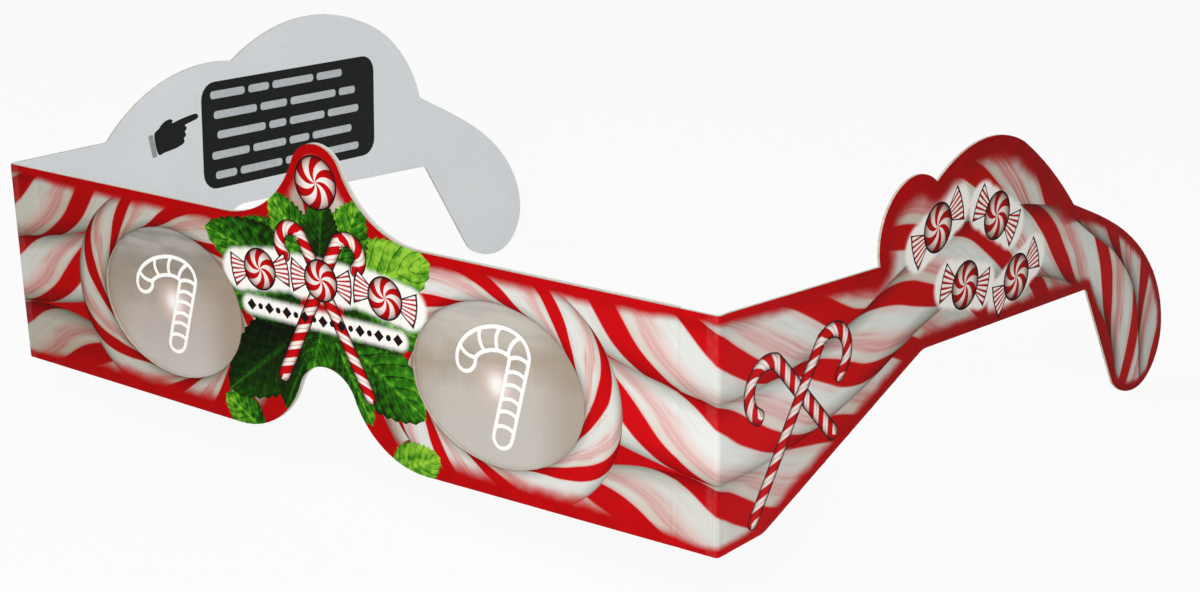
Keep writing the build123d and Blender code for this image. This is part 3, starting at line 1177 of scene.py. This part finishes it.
def fibrous(name, pale, dark, rough, edge_colour=None):
    """A material of paper fibre; faces that look up, down or sideways may have another colour."""
    made, tree = new_material(name)
    place = add(tree, "ShaderNodeTexCoord").outputs["Object"]
    cloud, fibre = (
        add(
            tree, "ShaderNodeTexNoise",
            {"Vector": place, "Scale": 1 / (size * mm), "Detail": 3.0},
        )
        for size in (cloud_size, fibre_size)
    )
    mixed = add(tree, "ShaderNodeMath", {0: cloud, 1: fibre}, operation="MULTIPLY")
    mixed = add(
        tree, "ShaderNodeMapRange", {"Value": mixed, "From Min": fibre_from, "From Max": fibre_to}
    )
    colour = add(
        tree, "ShaderNodeMix", {"Factor": mixed, "A": dark, "B": pale}, data_type="RGBA"
    )
    if edge_colour:
        facing = add(tree, "ShaderNodeNewGeometry").outputs["Normal"]
        facing = add(tree, "ShaderNodeSeparateXYZ", {"Vector": facing}).outputs["Y"]
        facing = add(tree, "ShaderNodeMath", {0: facing}, operation="ABSOLUTE")
        colour = add(
            tree, "ShaderNodeMix", {"Factor": facing, "A": edge_colour, "B": colour},
            data_type="RGBA",
        )
    relief = add(
        tree, "ShaderNodeBump",
        {"Height": fibre, "Strength": fibre_relief, "Distance": fibre_depth * mm},
    )
    surface = add(
        tree, "ShaderNodeBsdfPrincipled",
        {"Base Color": colour, "Roughness": rough, "Normal": relief,
         "Specular IOR Level": board_specular},
    )
    add(tree, "ShaderNodeOutputMaterial", {"Surface": surface})
    return made


# Clay-coated back: a matt blue-grey white with the faint cloudiness of pressed fibre.
bare_board = fibrous("clay-coated board", bare_white, bare_grey, bare_rough)
# Cut edge: torn fibre, greyer than either face.
cut_edge = fibrous("die-cut board edge", core_pale, core_grey, rough=0.85)
# Black ink on bare board: flat, and cloudy where the board drank it in.
black_ink = fibrous("black ink", "#191D18", "#11140F", rough=0.5)
# Grey ink, a screen of black.
grey_ink = fibrous("grey ink", "#A7ADB0", "#8F9598", rough=0.6)
# Bars left bare in the black, a little filled in by spread ink.
bare_bar = fibrous("bare bar", "#D3D8DA", "#BDC3C6", rough=0.6)
inside_inks = {"black ink": black_ink, "grey ink": grey_ink, "bare bar": bare_bar}


def board_piece(name, cell_name, node):
    """A closed shell of board from the triangles of one piece of the blank."""
    chosen = [
        number for number, owners in enumerate(net_owners)
        if piece_cells[cell_name] in owners and not owners.intersection(window_cells)
    ]
    used, faces = np.unique(net_faces[chosen], return_inverse=True)
    faces = faces.reshape(-1, 3)
    flat = net_points[used]
    count = len(used)
    past = np.abs(flat[:, 0]) - fold_reach
    whole = np.where(flat[:, 0] < 0, bend_length[left], bend_length[right])
    at_temple = np.isclose(past, whole, atol=same_place)
    at_fold = np.isclose(past, 0, atol=same_place) | at_temple
    flat[at_temple, 0] += np.sign(flat[at_temple, 0]) * seam_past_bend

    # The printed face rolls down at the cut edges and sinks over the ends of the inner ply. The
    # back stands out in a bead inside each bend.
    rim_edges = open_edges(faces.tolist())
    rolled = np.zeros(count, bool)
    rolled[np.unique(rim_edges)] = True
    step = 1 - np.abs(np.abs(flat[:, 0]) - ply_end_reach) / ply_step_width
    outer_depth = edge_roll_depth * (rolled & ~at_fold) + ply_step_depth * np.clip(step, 0, 1)
    bead = np.sqrt(np.maximum(bead_radius**2 - (past - whole / 2) ** 2, 0))
    bead *= (past > 0) & (past < whole)
    outer = stood_up(flat, outer_depth)
    inner = stood_up(flat, board + bead)

    triangles = np.vstack([faces, faces[:, ::-1] + count])
    walls = [(a, a + count, b + count, b) for a, b in rim_edges]
    mesh = bpy.data.meshes.new(name)
    mesh.from_pydata(np.vstack([outer, inner]).tolist(), [], triangles.tolist() + walls)

    by_motif = {}
    for number, face in enumerate(chosen):
        for outward, prints in ((True, print_outside), (False, print_inside)):
            topmost = max((owner for owner in net_owners[face] if owner in prints), default=None)
            by_motif.setdefault((outward, topmost), []).append(number)

    slots = {}

    def slot_of(material):
        if material not in slots:
            slots[material] = len(slots)
            mesh.materials.append(material)
        return slots[material]

    map_places = np.zeros((len(triangles) * 3 + len(walls) * 4, 2))
    tones = np.full(len(triangles) + len(walls), 0.5)
    numbers = np.zeros(len(triangles) + len(walls), int)
    for (outward, topmost), members in by_motif.items():
        rows = np.array(members) + (0 if outward else len(faces))
        if topmost is None:
            numbers[rows] = slot_of(red_ink if outward else bare_board)
            continue
        ink, place, tone = (print_outside if outward else print_inside)[topmost]
        numbers[rows] = slot_of(inks[ink] if outward else inside_inks[ink])
        corners = (rows[:, None] * 3 + np.arange(3)).ravel()
        map_places[corners] = place(flat[triangles[rows] % count].reshape(-1, 2))
        tones[rows] = tone
    numbers[len(triangles):] = slot_of(cut_edge)

    mesh.polygons.foreach_set("material_index", numbers)
    mesh.uv_layers.new(name="print").data.foreach_set("uv", map_places.ravel())
    mesh.attributes.new("tone", "FLOAT", "FACE").data.foreach_set("value", tones)
    for fact, values in net_facts.items():
        attribute = mesh.attributes.new(fact, "FLOAT", "POINT")
        attribute.data.foreach_set("value", np.tile(values[used], 2))
    mesh.shade_smooth()
    mesh.set_sharp_from_angle(angle=radians(sharp_edge))
    piece = link_object(name, mesh)
    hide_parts(node)
    return piece


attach(board_piece("printed_front", "front", "front_panel"), "front")
for side, name in sides:
    temple = board_piece("printed_temple_" + name, "temple_" + name, "temple_" + name)
    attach(temple, "temple_" + name)
    bend = board_piece("printed_bend_" + name, "bend_" + name, "corner_bend_" + name)
    ends = stood_up(np.array([(side * fold_reach, 0), (side * temple_start[side], 0)]), 0)
    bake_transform(bend)


# Inner ply
# A second die-cut sheet is glued behind the outer one and traps the films. It is bare board on
# both sides and ends short of the folds.
ply_edge = "#E2DFD8"


def dress(node, material):
    """Gives a CAD node that keeps its shape its material."""
    mesh = frame["nodes"][node].data
    mesh.materials.clear()
    mesh.materials.append(material)


dress("back_panel", fibrous(
    "clay-coated inner ply", bare_white, bare_grey, bare_rough, edge_colour=ply_edge
))


# Glue
# Water-based paper glue is rolled on between the plies round the films. It dries milky, thicker
# in some places than in others.
blotch_size = 4.5
glue_pale, glue_dark, glue_smooth, glue_rough = "#E9E3D3", "#D3CBB6", 0.3, 0.6
milky_glue, tree = new_material("dried paper glue")
colour, blotch = mottled(tree, blotch_size, 3.0, glue_pale, glue_dark)
gloss = add(
    tree, "ShaderNodeMapRange", {"Value": blotch, "To Min": glue_smooth, "To Max": glue_rough}
)
surface = add(tree, "ShaderNodeBsdfPrincipled", {"Base Color": colour, "Roughness": gloss})
add(tree, "ShaderNodeOutputMaterial", {"Surface": surface})
dress("adhesive_layer", milky_glue)


# Diffraction films
# A thin polyester film, embossed with a fine grating, sits between the plies behind each window.
# It is smoky and half clear, and carries a painted highlight: a pale spot round its middle.
tint_places = (0.0, 0.28, 0.38, 0.52, 1.0)
film_tints = {
    left: ("#BFBCB7", "#988D80", "#A19484", "#B8ABA3", "#C8C3BD"),
    right: ("#CBC7C1", "#C2B9AD", "#AFA291", "#C6BEB5", "#C8C3BD"),
}
tint_reach, tint_lean, haze_size, haze_sway = 14.0, 0.2, 8.3, 4.0
film_brown, side_brown = "#9E8B74", {left: 0.85, right: 0.6}
side_middle, side_from, side_to = 2.0, 7.0, 15.0
smear_grey, smear_depth = "#77736E", {left: 0.7, right: 0.25}
smear_turn, smear_stretch, smear_scale = 0.5, (0.1, 1, 0.6), 0.9
smear_top, smear_foot, smear_from, smear_to = 0.1, 0.5, 0.42, 0.62
# Painted highlight: a pale pink-white spot round the middle of each film.
painted_highlight_radius, painted_highlight_white, painted_highlight_power = 5.5, "#FFFAF7", 5.0
painted_highlight_pink, highlight_pink_share = "#E6C7C0", 0.75
film_cover, film_rough, film_ior = 0.88, 0.22, 1.5
# A real grating has hundreds of lines in a millimetre, so its grid is drawn as coarse as 1.1 mm.
grating_step, grating_line, grating_tone = 1.1, 0.35, 0.97


def film_material(side, name):
    """Smoky embossed film: bands of brown and grey, a fine grid, and a painted highlight as a pale
    spot.
    """
    made, tree = new_material("embossed polyester film " + name)
    place = add(tree, "ShaderNodeTexCoord").outputs["Object"]
    centred = add(
        tree, "ShaderNodeMapping",
        {"Vector": place, "Location": (-side * window_centre[0], 0, 0), "Scale": (1 / mm,) * 3},
    )
    split = add(tree, "ShaderNodeSeparateXYZ", {"Vector": centred})
    haze = add(
        tree, "ShaderNodeTexNoise", {"Vector": centred, "Scale": 1 / haze_size, "Detail": 3.0}
    )
    sway = add(
        tree, "ShaderNodeMapRange", {"Value": haze, "To Min": -haze_sway, "To Max": haze_sway}
    )
    level = split.outputs["X"]
    for operation, value in (("MULTIPLY", -tint_lean), ("ADD", split.outputs["Z"]), ("ADD", sway)):
        level = add(tree, "ShaderNodeMath", {0: level, 1: value}, operation=operation)
    level = add(
        tree, "ShaderNodeMapRange",
        {"Value": level, "From Min": tint_reach, "From Max": -tint_reach},
    )
    tint = add(
        tree, "ShaderNodeValToRGB", {"Fac": level}, stops=tuple(zip(tint_places, film_tints[side]))
    )
    sideways = add(
        tree, "ShaderNodeMath", {0: split.outputs["X"], 1: side_middle}, operation="ADD"
    )
    sideways = add(tree, "ShaderNodeMath", {0: sideways}, operation="ABSOLUTE")
    sideways = add(
        tree, "ShaderNodeMapRange",
        {"Value": sideways, "From Min": side_from, "From Max": side_to,
         "To Max": side_brown[side]},
        interpolation_type="SMOOTHSTEP",
    )
    smear = add(
        tree, "ShaderNodeMapping",
        {"Vector": centred, "Rotation": (0, smear_turn, 0), "Scale": smear_stretch},
    )
    smear = add(
        tree, "ShaderNodeTexNoise", {"Vector": smear, "Scale": smear_scale, "Detail": 3.0}
    )
    upper = add(
        tree, "ShaderNodeMapRange",
        {"Value": level, "From Min": smear_top, "From Max": smear_foot,
         "To Min": smear_depth[side], "To Max": 0.0},
    )
    smear = add(
        tree, "ShaderNodeMapRange",
        {"Value": smear, "From Min": smear_from, "From Max": smear_to, "To Max": upper},
    )
    grid = []
    for axis in ("X", "Z"):
        line = add(
            tree, "ShaderNodeMath", {0: split.outputs[axis], 1: 1 / grating_step},
            operation="MULTIPLY",
        )
        line = add(tree, "ShaderNodeMath", {0: line}, operation="FRACT")
        grid.append(add(
            tree, "ShaderNodeMapRange",
            {"Value": line, "From Min": 0.0, "From Max": grating_line,
             "To Min": grating_tone, "To Max": 1.0},
        ))
    lines = add(tree, "ShaderNodeMath", {0: grid[0], 1: grid[1]}, operation="MULTIPLY")
    flat = add(tree, "ShaderNodeCombineXYZ", {"X": split.outputs["X"], "Y": split.outputs["Z"]})
    away = add(tree, "ShaderNodeVectorMath", {0: flat}, operation="LENGTH").outputs["Value"]
    # Painted highlight: a pale pink, then white, spot round the film's middle.
    glow = add(
        tree, "ShaderNodeMapRange",
        {"Value": away, "From Min": 0.0, "From Max": painted_highlight_radius, "To Min": 1.0, "To Max": 0.0},
        interpolation_type="SMOOTHERSTEP",
    )
    highlight_halo = add(tree, "ShaderNodeMath", {0: glow, 1: highlight_pink_share}, operation="MULTIPLY")
    core = add(tree, "ShaderNodeMath", {0: glow, 1: painted_highlight_power}, operation="POWER")
    for share, over, way in (
        (sideways, film_brown, "MIX"),
        (smear, smear_grey, "MIX"),
        (1.0, lines, "MULTIPLY"),
        (highlight_halo, painted_highlight_pink, "MIX"),
        (core, painted_highlight_white, "MIX"),
    ):
        tint = add(
            tree, "ShaderNodeMix", {"Factor": share, "A": tint, "B": over},
            data_type="RGBA", blend_type=way,
        )
    surface = add(
        tree, "ShaderNodeBsdfPrincipled",
        {"Base Color": tint, "Roughness": film_rough, "IOR": film_ior, "Alpha": film_cover},
    )
    add(tree, "ShaderNodeOutputMaterial", {"Surface": surface})
    return made


for side, name in sides:
    dress("lens_film_" + name, film_material(side, name))


# Figures on the films
# A hooked candy cane in white line is raised on each film, the same on both. It leans as the
# stem of a walking stick does and has a band across it every few millimetres.
figure_line, figure_relief = 0.68, 0.05
figure_width = 3.5
figure_crook, crook_middle, stem_foot = (4.9, 3.0), (-1.3, 4.0), (0.25, -7.9)
crook_turns = np.linspace(pi * 1.02, -0.1, 18)
stem_shares = (0.3, 0.6, 1)
figure_step, band_points, line_sides = 0.3, 7, 8
figure_rise = 0.2
figure_scale = {left: (1.02, 0.87), right: (0.98, 1.0)}
figure_shift = {left: -0.2, right: 0.45}
figure_bands = (0.055, 0.18, 0.30, 0.42, 0.525, 0.61, 0.695, 0.775, 0.86, 0.945)
band_bow = 0.5
figure_white, figure_shade, figure_rough = "#FFFEFC", "#F8F5F0", 0.45
# The grain of screened ink is about 0.1 mm, too fine to show, so it is drawn as coarse as 0.67 mm.
grain_size = 0.67


def figure_lines():
    """The outline and the bands of the figure, as runs of points across and up."""
    crook = [
        np.array(crook_middle) + (figure_crook[0] * cos(turn), figure_crook[1] * sin(turn))
        for turn in crook_turns
    ]
    stem = [crook[-1] * (1 - share) + np.array(stem_foot) * share for share in stem_shares]
    spine = smooth_path([*crook, *stem], step=figure_step)
    outline = band_outline(spine, figure_width)
    lengths = np.concatenate([[0], np.cumsum(np.linalg.norm(np.diff(spine, axis=0), axis=1))])
    ahead, aside = ways_of(spine)
    across = np.linspace(-0.5, 0.5, band_points)[:, None]
    runs = [np.vstack([outline, outline[:1]])]
    for number in np.searchsorted(lengths, np.array(figure_bands) * lengths[-1]):
        bow = band_bow * (1 - (2 * across) ** 2) * -ahead[number]
        runs.append(spine[number] + across * figure_width * aside[number] + bow)
    return runs


line_tree = bpy.data.node_groups.new("raised line", "GeometryNodeTree")
for label, way, kind in (
    ("Geometry", "INPUT", "Geometry"), ("Line width", "INPUT", "Float"),
    ("Relief", "INPUT", "Float"), ("Ink", "INPUT", "Material"),
    ("Geometry", "OUTPUT", "Geometry"),
):
    line_tree.interface.new_socket(label, in_out=way, socket_type="NodeSocket" + kind)
given = add(line_tree, "NodeGroupInput")
curves = add(line_tree, "GeometryNodeMeshToCurve", {"Mesh": given.outputs["Geometry"]})
half_line = add(
    line_tree, "ShaderNodeMath", {0: given.outputs["Line width"], 1: 0.5}, operation="MULTIPLY"
)
profile = add(
    line_tree, "GeometryNodeCurvePrimitiveCircle", {"Resolution": line_sides, "Radius": half_line}
)
tubes = add(
    line_tree, "GeometryNodeCurveToMesh",
    {"Curve": curves, "Profile Curve": profile.outputs["Curve"], "Fill Caps": True},
)
share = add(
    line_tree, "ShaderNodeMath",
    {0: given.outputs["Relief"], 1: given.outputs["Line width"]}, operation="DIVIDE",
)
flattening = add(line_tree, "ShaderNodeCombineXYZ", {"X": 1.0, "Y": share, "Z": 1.0})
ribbons = add(line_tree, "GeometryNodeTransform", {"Geometry": tubes, "Scale": flattening})
smooth = add(line_tree, "GeometryNodeSetShadeSmooth", {"Geometry": ribbons})
real = add(line_tree, "GeometryNodeRealizeInstances", {"Geometry": smooth})
inked = add(
    line_tree, "GeometryNodeSetMaterial", {"Geometry": real, "Material": given.outputs["Ink"]}
)
add(line_tree, "NodeGroupOutput", {"Geometry": inked})

# Raised white ink: opaque and satin, faintly warm.
white_ink, tree = new_material("raised white ink")
colour = mottled(tree, grain_size, 2.0, figure_white, figure_shade)[0]
surface = add(
    tree, "ShaderNodeBsdfPrincipled", {"Base Color": colour, "Roughness": figure_rough}
)
add(tree, "ShaderNodeOutputMaterial", {"Surface": surface})

film_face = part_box("lens_film_right")[0].y / mm
for side, name in sides:
    points, edges = [], []
    for run in figure_lines():
        edges += [(len(points) + step, len(points) + step + 1) for step in range(len(run) - 1)]
        for x, z in run:
            x = x * figure_scale[side][0] + figure_shift[side]
            z = z * figure_scale[side][1]
            points.append((x * mm, 0, (z + figure_rise * x) * mm))
    drawn = bpy.data.meshes.new("figure lines")
    drawn.from_pydata(points, edges, [])
    lines = link_object("figure lines " + name, drawn)
    modifier = lines.modifiers.new("raised line", "NODES")
    modifier.node_group = line_tree
    values = {"Line width": figure_line * mm, "Relief": figure_relief * mm, "Ink": white_ink}
    for item in line_tree.interface.items_tree:
        if item.in_out == "INPUT" and item.name in values:
            modifier[item.identifier] = values[item.name]
    shape = bpy.data.meshes.new_from_object(
        lines.evaluated_get(bpy.context.evaluated_depsgraph_get())
    )
    bpy.data.objects.remove(lines)
    shape.transform(Matrix.Translation(Vector((side * window_centre[0], film_face, 0)) * mm))
    figure = link_object("film_figure_" + name, shape)
    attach(figure, "front")


boxes = {"cad": cad_box, "visual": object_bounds()}
{name: [list(corner) for corner in box] for name, box in boxes.items()}
